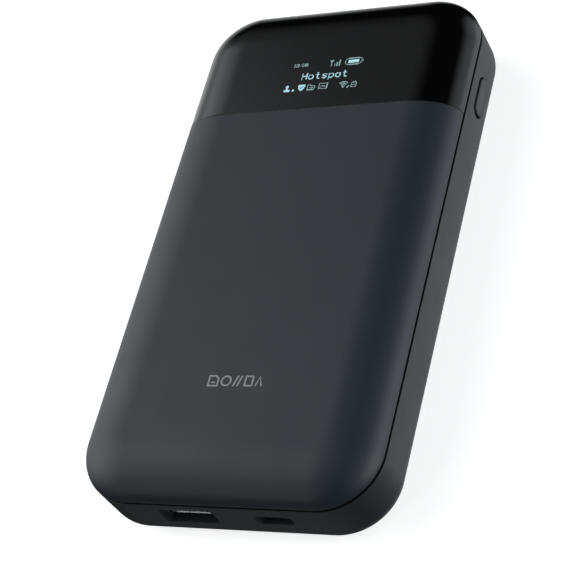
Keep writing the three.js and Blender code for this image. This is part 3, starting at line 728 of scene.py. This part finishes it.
def make_usb_a_shell():
    """The drawn tube, its back plate and four spring leaves."""
    width, height = usb_a_high.x - usb_a_low.x, usb_a_high.z - usb_a_low.z
    depth = usb_a_high.y - usb_a_low.y
    path = closed_route(outline_arcs(width, height, 0.6 * MM, 6), 4)
    tube = laid_in(socket_tube(path, depth - SHORT, flare=0.28 * MM), USB_A_X, usb_a_low.y)
    inset = 0.1 * MM
    back = brick(
        usb_a_low.x + inset, usb_a_high.x - inset, usb_a_high.y - USB_SHEET, usb_a_high.y,
        usb_a_low.z + inset, usb_a_high.z - inset,
    )
    leaf_x, leaf_in = 3.2 * MM, 1.2 * MM
    leaves = [
        spring_leaf(USB_A_X + dx, side, usb_a_low.y + leaf_in)
        for side in (-1, 1) for dx in (-leaf_x, leaf_x)
    ]
    points, faces = joined(tube, back, *leaves)
    make("usb_a_shell_drawn", points, faces, "housing", FINISHES["steel"], ["usb_a_shell"], 40)


def make_usb_a_tongue():
    """The tongue, and under its blade four contact strips with a raised spring end each."""
    low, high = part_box("usb_a_tongue")
    blade_half, blade_low, blade_top = 5.55 * MM, PORT_Z + 0.05 * MM, PORT_Z + 1.89 * MM
    heel_y = usb_a_high.y - USB_SHEET - 3 * MM
    blade = brick(
        USB_A_X - blade_half, USB_A_X + blade_half, low.y, high.y - 0.5 * MM, blade_low, blade_top
    )
    heel = brick(low.x, high.x, heel_y, high.y, low.z, high.z)
    points, faces = joined(blade, heel)
    tongue = make(
        "usb_a_tongue_blade", points, faces, "housing", BLACK, ["usb_a_tongue"], 40
    )
    bevel(tongue, 0.25 * MM, 3)
    pitch, half, start = 2.3 * MM, 0.5 * MM, low.y + 0.5 * MM
    strips = []
    for k in range(4):
        x = USB_A_X + (k - 1.5) * pitch
        strips.append(brick(
            x - half, x + half, start, heel_y, blade_low - 0.12 * MM, blade_low + 0.1 * MM
        ))
        strips.append(brick(
            x - half, x + half, start + MM, low.y + 3 * MM, blade_low - 0.35 * MM, blade_low
        ))
    points, faces = joined(*strips)
    bevel(make("usb_a_contacts", points, faces, "housing", FINISHES["gold"]), 0.06 * MM)


def make_usb_c_shell():
    """The drawn tube and its back plate."""
    width, height = usb_c_high.x - usb_c_low.x, usb_c_high.z - usb_c_low.z
    depth = usb_c_high.y - usb_c_low.y
    tube = laid_in(socket_tube(pill_path(width, height), depth - SHORT), USB_C_X, usb_c_low.y)
    inset = 0.2 * MM
    back = brick(
        usb_c_low.x + MM, usb_c_high.x - MM, usb_c_high.y - USB_SHEET, usb_c_high.y,
        usb_c_low.z + inset, usb_c_high.z - inset,
    )
    points, faces = joined(tube, back)
    make("usb_c_shell_drawn", points, faces, "housing", FINISHES["steel"], ["usb_c_shell"], 40)


def make_usb_c_tongue():
    """The tongue, and twelve contacts on each face of its blade."""
    low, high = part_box("usb_c_tongue")
    blade_half, blade_rise, heel_depth = 3.35 * MM, 0.35 * MM, 2.4 * MM
    heel_y = high.y - heel_depth
    blade = brick(
        USB_C_X - blade_half, USB_C_X + blade_half, low.y, high.y - 0.4 * MM,
        PORT_Z - blade_rise, PORT_Z + blade_rise,
    )
    heel = swept(pill_path(8 * MM, 2.2 * MM), [[0, 0], [0, heel_depth]])
    points, faces = joined(blade, laid_in(heel, USB_C_X, heel_y))
    tongue = make(
        "usb_c_tongue_blade", points, faces, "housing", BLACK, ["usb_c_tongue"], 40
    )
    bevel(tongue, 0.1 * MM, 2)
    pitch, half, start = 0.5 * MM, 0.13 * MM, low.y + 0.5 * MM
    pins = []
    for side in (-1, 1):
        z0, z1 = sorted((PORT_Z + side * 0.3 * MM, PORT_Z + side * 0.38 * MM))
        for k in range(12):
            x = USB_C_X + (k - 5.5) * pitch
            pins.append(brick(x - half, x + half, start, heel_y, z0, z1))
    points, faces = joined(*pins)
    make("usb_c_contacts", points, faces, "housing", FINISHES["gold"])


make_usb_a_shell()
make_usb_a_tongue()
make_usb_c_shell()
make_usb_c_tongue()

# ---- power button ---------------------------------------------------------------------------
LONGER = 0.25 * MM  # the face reaches this much further towards the display end
LOWER = 0.2 * MM  # and stands this much lower


def button_profile():
    """Up the cap's wall from its foot, over the rounded rim and onto the barely domed face."""
    edge, proud = 0.28 * MM, button_high.x - button_low.x - LOWER
    foot = [[0.3 * MM, 0], [0, 0.1 * MM]]
    rim = arc_rows((edge, proud - edge), (-edge, edge), 0, 90, 6)
    dome = [[edge + 0.5 * MM, proud + 0.02 * MM]]
    return np.concatenate([foot, rim, dome])


def make_button():
    """The cap, laid in its opening in the side."""
    points, faces = swept(pill_path(BUTTON_LENGTH + LONGER, BUTTON_HEIGHT), button_profile())
    make(
        "power_button_face", along_x(points, button_low.x, BUTTON_Y + LONGER / 2, BUTTON_Z), faces,
        "power_button", FINISHES["soft_touch_frame"], ["power_button_cap"],
    )


make_button()

# ---- lit display ----------------------------------------------------------------------------
DOT = 0.17  # mm from one display dot to the next
PLATE, PLATE_THICK, PLATE_LIFT = 0.15, 0.012, 0.004  # mm: a dot's plate, just above the window
HAIR, FINE, MEDIUM, FIRM = 0.09, 0.1, 0.13, 0.14  # mm: half widths of drawn lines
SHOWN = (0.57, 46.45)  # mm, middle of the lit area on the window's face


class Dots:
    """A grid of display dots, lit where a drawn shape covers their middles. Millimetres."""

    def __init__(self, width=22.4, height=11.2):
        columns, rows = round(width / DOT), round(height / DOT)
        x = (np.arange(columns) - (columns - 1) / 2) * DOT
        y = (np.arange(rows) - (rows - 1) / 2) * DOT
        self.x, self.y = np.meshgrid(x, y)
        self.lit = np.zeros(self.x.shape, bool)

    def line(self, ax, ay, bx, by, half):
        """Dots nearer than half to the straight line from a to b."""
        dx, dy = bx - ax, by - ay
        t = ((self.x - ax) * dx + (self.y - ay) * dy) / max(dx * dx + dy * dy, 1e-9)
        t = np.clip(t, 0, 1)
        self.lit |= np.hypot(self.x - ax - t * dx, self.y - ay - t * dy) < half

    def path(self, points, half):
        """A line through all the points."""
        for (ax, ay), (bx, by) in zip(points, points[1:]):
            self.line(ax, ay, bx, by, half)

    def disc(self, x, y, radius):
        self.lit |= np.hypot(self.x - x, self.y - y) < radius

    def box(self, x0, x1, y0, y1):
        self.lit |= (self.x > x0) & (self.x < x1) & (self.y > y0) & (self.y < y1)

    def arc(self, x, y, radius, start, stop, half):
        """Dots within half of a circle's line, between two angles in degrees."""
        angle = np.degrees(np.arctan2(self.y - y, self.x - x))
        near = np.abs(np.hypot(self.x - x, self.y - y) - radius) < half
        self.lit |= near & (angle >= start) & (angle <= stop)

    def clear(self, other):
        """Puts out the dots that other has lit."""
        self.lit &= ~other.lit

    def plates(self):
        """Each lit dot as a thin square plate: its middle plus the corners of one box."""
        x, y = self.x[self.lit], self.y[self.lit]
        square = ((-1, -1), (1, -1), (1, 1), (-1, 1))
        corner = np.array([(sx, sy, sz) for sz in (0, 1) for sx, sy in square])
        offset = corner * np.array([PLATE / 2, PLATE / 2, PLATE_THICK])
        low = np.full(len(x), HEIGHT / MM + PLATE_LIFT)
        middle = np.stack([x + SHOWN[0], y + SHOWN[1], low], 1)
        points = (middle[:, None, :] + offset[None]).reshape(-1, 3)
        sides = np.array(BLOCK_SIDES)
        faces = (np.arange(len(x))[:, None, None] * 8 + sides[None]).reshape(-1, 4)
        return points * MM, [tuple(f) for f in faces.tolist()]


# Strokes on a cell 4 wide and 6 tall, origin at its lower left.
STROKES = {
    "0": [[(0, 1), (0, 5), (1, 6), (3, 6), (4, 5), (4, 1), (3, 0), (1, 0), (0, 1)]],
    "1": [[(1, 5), (2, 6), (2, 0)], [(1, 0), (3, 0)]],
    "8": [[(1, 3), (0, 4), (0, 5), (1, 6), (3, 6), (4, 5), (4, 4), (3, 3), (1, 3), (0, 2), (0, 1),
           (1, 0), (3, 0), (4, 1), (4, 2), (3, 3)]],
    ":": [[(2, 1.4), (2, 1.6)], [(2, 4.2), (2, 4.4)]],
    "H": [[(0, 0), (0, 6)], [(4, 0), (4, 6)], [(0, 3), (4, 3)]],
    "o": [[(1, 0), (0, 1), (0, 3), (1, 4), (3, 4), (4, 3), (4, 1), (3, 0), (1, 0)]],
    "t": [[(1.6, 6), (1.6, 1), (2.4, 0), (3.6, 0)], [(0.2, 4), (3.4, 4)]],
    "s": [[(4, 3.6), (3, 4), (1, 4), (0, 3), (1, 2.1), (3, 1.9), (4, 1), (3, 0), (1, 0), (0, 0.4)]],
    "p": [[(0, 4), (0, -1.6)], [(0, 3), (1, 4), (3, 4), (4, 3), (4, 1), (3, 0), (1, 0), (0, 1)]],
}


def write(dots, word, x, y, width, height, pitch, half):
    """The word from x, y on, each letter width by height and pitch from the one before it."""
    for k, letter in enumerate(word):
        for stroke in STROKES[letter]:
            dots.path([(x + k * pitch + u * width / 4, y + v * height / 6) for u, v in stroke], half)


def signal_symbols(dots, bright):
    """A mast with its bars, then the battery: a rounded outline with a bright charge bar and a nub."""
    dots.path([(0.9, 4.4), (1.45, 3.6), (2.0, 4.4), (0.9, 4.4)], HAIR)
    dots.line(1.45, 4.4, 1.45, 2.4, FINE)
    for k in range(3):
        dots.box(2.3 + 0.66 * k, 2.62 + 0.66 * k, 2.3, 3.2 + 0.62 * k)
    for y in (2.55, 4.6):
        dots.line(6.35, y, 8.95, y, FINE)
    dots.arc(6.35, 3.575, 1.03, 90, 180, FINE)
    dots.arc(6.35, 3.575, 1.03, -180, -90, FINE)
    dots.arc(8.95, 3.575, 1.03, -90, 90, FINE)
    bright.box(6.1, 9.1, 3.0, 4.15)
    dots.line(10.25, 3.25, 10.25, 3.9, FINE)


def status_symbols(dots, bright):
    """A person and a dot, a ticked shield, a folder with an arrow, and a picture."""
    bright.disc(-9.6, -3.3, 0.45)
    bright.line(-9.6, -3.4, -9.6, -4.2, 0.22)
    bright.box(-10.45, -8.75, -4.85, -4.25)
    bright.disc(-7.7, -4.6, 0.32)
    shield, tick = Dots(), Dots()
    shield.line(-5.95, -3.35, -4.9, -3.35, 0.5)
    shield.line(-5.85, -3.9, -5.0, -3.9, 0.48)
    shield.disc(-5.43, -4.4, 0.5)
    tick.path([(-5.85, -3.8), (-5.5, -4.2), (-4.95, -3.35)], FINE)
    shield.clear(tick)
    bright.lit |= shield.lit
    dots.path([(-3.65, -4.75), (-3.65, -3.15), (-3.0, -3.15), (-2.75, -3.45), (-1.9, -3.45)], FINE)
    dots.path([(-3.65, -4.75), (-1.9, -4.75), (-1.5, -4.05), (-1.9, -3.45)], FINE)
    dots.line(-3.1, -4.1, -2.2, -4.1, FINE)
    dots.path([(-2.5, -3.8), (-2.15, -4.1), (-2.5, -4.4)], FINE)
    dots.path([(-0.45, -4.65), (1.85, -4.65), (1.85, -3.0), (-0.45, -3.0), (-0.45, -4.65)], MEDIUM)
    dots.path([(-0.1, -4.25), (0.45, -3.6), (0.85, -4.05), (1.15, -3.8), (1.5, -4.25)], FINE)


def network_symbols(dots):
    """A fan of three arcs over a point, a small plug and a box."""
    for radius in (0.62, 1.16, 1.7):
        dots.arc(6.5, -4.75, radius, 46, 134, FIRM)
    dots.disc(6.5, -4.7, 0.26)
    dots.line(7.75, -4.9, 8.05, -4.5, 0.2)
    dots.path([(8.75, -4.85), (10.1, -4.85), (10.1, -3.5), (8.75, -3.5), (8.75, -4.85)], FIRM)
    dots.line(8.9, -4.15, 9.95, -4.15, FIRM)
    dots.line(9.15, -3.4, 9.15, -3.1, FINE)
    dots.line(9.7, -3.4, 9.7, -3.1, FINE)


def show_display():
    """Solid shapes are bright. Fine outlines and small figures are drawn with weaker dots."""
    dots, bright = Dots(), Dots()
    write(dots, "10:08", -9.45, 3.1, width=0.6, height=0.95, pitch=0.86, half=HAIR)
    write(bright, "Hotspot", -6.05, -1.15, width=1.25, height=1.9, pitch=1.92, half=MEDIUM)
    signal_symbols(dots, bright)
    status_symbols(dots, bright)
    network_symbols(dots)
    drawn = (("display_dots", bright, BRIGHT_DOT), ("display_fine_dots", dots, WEAK_DOT))
    for name, part, glow in drawn:
        points, faces = part.plates()
        make(name, points, faces, "housing", glow, smooth_deg=20)


show_display()

# ---- printed symbol -------------------------------------------------------------------------
INK = (-0.05, 0.012)  # mm from the front's flat face to the ink's bottom and top
SYMBOL_SIZE = 0.87  # of the size it is drawn at
SYMBOL_AT = (0.15, -43.6)  # mm


def flat_stroke(points, width, closed=False):
    """A flat band of that width along a path in plan: the points move half the width to each side, along
    the path's normal, and the band has a bottom and a top."""
    p = np.asarray(points, float)
    ahead = np.roll(p, -1, 0) - p
    back = p - np.roll(p, 1, 0)
    if not closed:
        ahead[-1], back[0] = back[-1], ahead[0]
    unit_a = ahead / np.linalg.norm(ahead, axis=1, keepdims=True)
    unit_b = back / np.linalg.norm(back, axis=1, keepdims=True)
    normal = np.stack([-(unit_a + unit_b)[:, 1], (unit_a + unit_b)[:, 0]], 1)
    normal /= np.maximum(1, (unit_a * unit_b).sum(1, keepdims=True) + 1)
    side = normal * width / 2
    rows = np.stack([p - side, p + side], 1)
    z = HEIGHT / MM + np.array(INK)
    n = len(p)
    corner = np.concatenate([
        np.concatenate([rows, np.broadcast_to(h, (n, 2, 1))], 2) for h in z
    ], 1)
    i = np.arange(n if closed else n - 1)[:, None, None] * 4
    j = (i + 4) % (4 * n)
    ring = ((0, 2), (2, 3), (3, 1), (1, 0))
    faces = [
        tuple(f)
        for a, b in ring
        for f in np.stack([i + a, i + b, j + b, j + a], -1).reshape(-1, 4).tolist()
    ]
    if not closed:
        faces += [(0, 1, 3, 2), (4 * n - 4, 4 * n - 2, 4 * n - 1, 4 * n - 3)]
    return corner.reshape(-1, 3), faces


def ring_points(x, radius, steps=32):
    """Points evenly round a circle whose middle is at x, 0."""
    a = np.radians(np.linspace(0, 360, steps + 1))[:-1]
    return np.stack([x + radius * np.cos(a), radius * np.sin(a)], 1)


def print_symbol():
    """A generic row of plain shapes: a card, a ring, two strokes, a frame and an arrowhead."""
    line = 0.48
    card = [(-8, -1.5), (-5.2, -1.5), (-5.2, 0.7), (-6, 1.5), (-8, 1.5)]
    square = [(3.1, -1.4), (5.3, -1.4), (5.3, 1.4), (3.1, 1.4)]
    points, faces = joined(
        flat_stroke(card, line, True),
        flat_stroke([(-7.2, -0.5), (-6, -0.5)], line),
        flat_stroke(ring_points(-2.7, 1.4), line, True),
        flat_stroke([(-0.3, -1.6), (0.7, 1.6)], line),
        flat_stroke([(0.9, -1.6), (1.9, 1.6)], line),
        flat_stroke(square, line, True),
        flat_stroke([(6.4, -1.5), (7.3, 1.4), (8.2, -1.5)], line),
    )
    points = points * np.array([SYMBOL_SIZE, SYMBOL_SIZE, 1]) + np.array([*SYMBOL_AT, 0])
    make("printed_symbol", points * MM, faces, "housing", PRINT, smooth_deg=30)


print_symbol()

# ---- stage and light ------------------------------------------------------------------------
def hide_from_light(thing):
    """The stage is only a ground to see: it neither lights nor shades the device."""
    thing.visible_diffuse = thing.visible_glossy = thing.visible_transmission = False
    thing.visible_shadow = False


def build_stage():
    """A white bowl: a turned profile that is level out to 3 m, then curves up and closes overhead. It
    glows a little, as a light table does, so that shadows on it stay pale."""
    white, nodes, links, shader, place = new_material("white_table", (0.86, 0.86, 0.86), 0.7)
    mottle = noise(nodes, links, place, scale=3, detail=2)
    links.new(spread(nodes, links, mottle, 0.68, 0.74), shader.inputs["Roughness"])
    shader.inputs["Emission Color"].default_value = (1, 1, 1, 1)
    shader.inputs["Emission Strength"].default_value = 0.75
    level_r, wall_r, turns = 3.0, 3.0, 64
    level = [[0.0, 0.0], [0.5, 0.0], [level_r, 0.0]]
    wall = arc_rows((level_r, wall_r), (wall_r, wall_r), -85, 90, 24)
    profile = np.concatenate([level, wall, [[0.0, 2 * wall_r]]])
    profile[:, 1] -= 0.05 * MM
    angles = np.linspace(0, 2 * math.pi, turns + 1)[:-1]
    ring = np.stack([np.cos(angles), np.sin(angles)], 1)
    m = len(profile)
    points = np.concatenate([
        profile[None, :, :1] * ring[:, None, :],
        np.broadcast_to(profile[None, :, 1:], (turns, m, 1)),
    ], 2).reshape(-1, 3)
    i, j = np.arange(turns)[:, None], np.arange(m - 1)[None, :]
    i2 = (i + 1) % turns
    quads = np.stack([i * m + j, i2 * m + j, i2 * m + j + 1, i * m + j + 1], -1).reshape(-1, 4)
    mesh = raw_mesh("table", points, [tuple(q) for q in quads.tolist()])
    mesh.materials.append(white)
    mesh.polygons.foreach_set("use_smooth", np.ones(len(mesh.polygons), bool))
    table = bpy.data.objects.new("table", mesh)
    scene.collection.objects.link(table)
    table.parent = frame["bodies"]["back_cover"]
    hide_from_light(table)


# Soft lights, far off: elevation, azimuth from +X towards +Y, and strength.
SOFT_LIGHTS = (
    # the button side
    (5, 0, 2.5),
    (5, 45, 0.85),
    (35, 0, 0.55),
    # the plain side
    (35, 173, 2.1),
    (40, 150, 0.28),
    (5, 168, 0.95),
    (62, 180, 0.35),
    # from below
    (-30, 45, 0.8),
    (-30, 135, 0.85),
    (-65, 90, 0.7),
    (-45, 245, 0.27),
    # the port end
    (0, 285, 0.1),
)
SPREAD = 38  # degrees from a soft light's middle to its edge


def towards(elevation, azimuth):
    """The unit vector that points at that elevation and azimuth, in degrees."""
    e, a = math.radians(elevation), math.radians(azimuth)
    return math.cos(e) * math.cos(a), math.cos(e) * math.sin(a), math.sin(e)


def light_studio():
    """The light from a direction is the sum, over the soft lights, of strength times a smooth step of
    the cosine between the direction and the light, from SPREAD degrees away up to the light itself."""
    world = bpy.data.worlds.new("studio")
    scene.world = world
    world.use_nodes = True
    nodes, links = world.node_tree.nodes, world.node_tree.links
    direction = nodes.new("ShaderNodeTexCoord").outputs["Generated"]
    total = None
    for elevation, azimuth, strength in SOFT_LIGHTS:
        cosine = nodes.new("ShaderNodeVectorMath")
        cosine.operation = "DOT_PRODUCT"
        links.new(direction, cosine.inputs[0])
        cosine.inputs[1].default_value = towards(elevation, azimuth)
        step = nodes.new("ShaderNodeMapRange")
        step.interpolation_type = "SMOOTHSTEP"
        step.inputs["From Min"].default_value = math.cos(math.radians(SPREAD))
        step.inputs["To Max"].default_value = strength
        links.new(cosine.outputs["Value"], step.inputs["Value"])
        if total is None:
            total = step.outputs["Result"]
        else:
            add = nodes.new("ShaderNodeMath")
            links.new(total, add.inputs[0])
            links.new(step.outputs["Result"], add.inputs[1])
            total = add.outputs["Value"]
    background = nodes["Background"]
    background.inputs["Color"].default_value = (0.97, 1.0, 1.03, 1)
    links.new(total, background.inputs["Strength"])


def port_glint():
    """A small weak lamp low in front of the port end, which picks out the sockets' metal."""
    lamp = bpy.data.lights.new("port_glint", "AREA")
    lamp.shape = "DISK"
    lamp.size, lamp.energy = 0.2, 0.36
    light = bpy.data.objects.new("port_glint", lamp)
    scene.collection.objects.link(light)
    away, distance = Vector(towards(29, 238)), 0.7
    light.location = Vector((USB_A_X, usb_a_low.y, PORT_Z)) + away * distance
    light.rotation_mode = "QUATERNION"
    light.rotation_quaternion = (-away).to_track_quat("-Z", "Y")


build_stage()
light_studio()
port_glint()
scene.view_settings.view_transform = "Standard"
